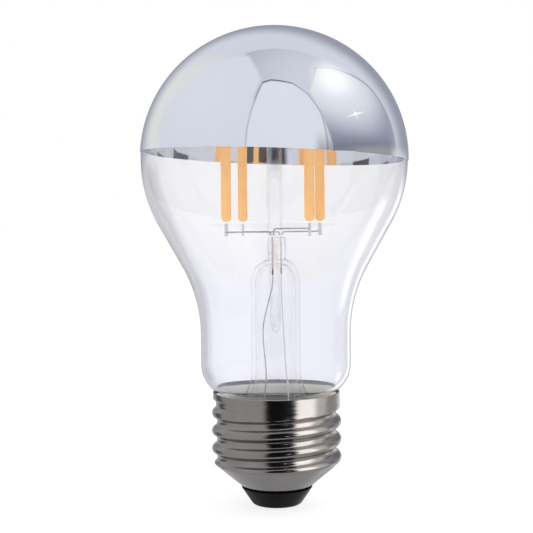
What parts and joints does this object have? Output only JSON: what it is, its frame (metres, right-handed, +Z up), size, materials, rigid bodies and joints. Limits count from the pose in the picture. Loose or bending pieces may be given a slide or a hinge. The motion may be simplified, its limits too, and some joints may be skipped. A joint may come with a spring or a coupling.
{
  "type": "filament led bulb",
  "caption": "Clear pear-shaped filament lamp with a silvered crown and a dark nickel screw cap",
  "frame": {"origin": "centre of the flat underside of the centre contact, on the lamp's axis", "axes": "+Z up the lamp's axis from the contact to the mirrored crown, front towards -Y, +X to the viewer's right"},
  "size_m": [0.0548, 0.0548, 0.0974],
  "materials": {
    "clear_glass": "clear blown glass",
    "mirror_silver": "polished silver mirror film",
    "dark_nickel": "polished dark nickel plate",
    "black_insulator": "black fused glass, glossy",
    "tinned_contact": "tinned, satin",
    "cap_cement": "baked cement, matt",
    "phosphor_yellow": "silicone with yellow phosphor",
    "nickel_wire": "drawn nickel wire",
    "seal_wire": "copper-clad sealing wire, reddish",
    "tinned_copper": "tinned copper wire",
    "board_green": "green circuit board",
    "chip_black": "black moulding",
    "capacitor_aluminium": "bare aluminium can",
    "chip_ceramic": "brown ceramic",
    "resistor_coating": "blue-green coating"
  },
  "bodies": {
    "root": {"glass_envelope": "clear_glass", "mirror_coating": "mirror_silver", "stem_flare": "clear_glass", "exhaust_tube": "clear_glass", "support_rod": "clear_glass", "cap_shell": "dark_nickel", "cap_cement": "cap_cement", "insulator": "black_insulator", "centre_contact": "tinned_contact", "contact_wire": "tinned_copper", "side_wire": "tinned_copper", "fuse_resistor": "resistor_coating", "fuse_board_wire": "tinned_copper", "driver_board": "board_green", "bridge_rectifier": "chip_black", "driver_chip": "chip_black", "chip_resistor_1": "chip_ceramic", "chip_resistor_2": "chip_ceramic", "chip_capacitor": "chip_ceramic", "capacitor_can": "capacitor_aluminium", "capacitor_lead_1": "capacitor_aluminium", "capacitor_lead_2": "capacitor_aluminium", "top_wire_1": "nickel_wire", "top_wire_2": "nickel_wire", "filament_1": "phosphor_yellow", "lower_tab_1": "nickel_wire", "upper_tab_1": "nickel_wire", "filament_2": "phosphor_yellow", "lower_tab_2": "nickel_wire", "upper_tab_2": "nickel_wire", "filament_3": "phosphor_yellow", "lower_tab_3": "nickel_wire", "upper_tab_3": "nickel_wire", "filament_4": "phosphor_yellow", "lower_tab_4": "nickel_wire", "upper_tab_4": "nickel_wire", "near_arm_wire": "nickel_wire", "near_branch_wire": "nickel_wire", "near_seal_wire": "seal_wire", "near_outer_wire": "tinned_copper", "far_arm_wire": "nickel_wire", "far_branch_wire": "nickel_wire", "far_seal_wire": "seal_wire", "far_outer_wire": "tinned_copper"}
  },
  "joints": []
}
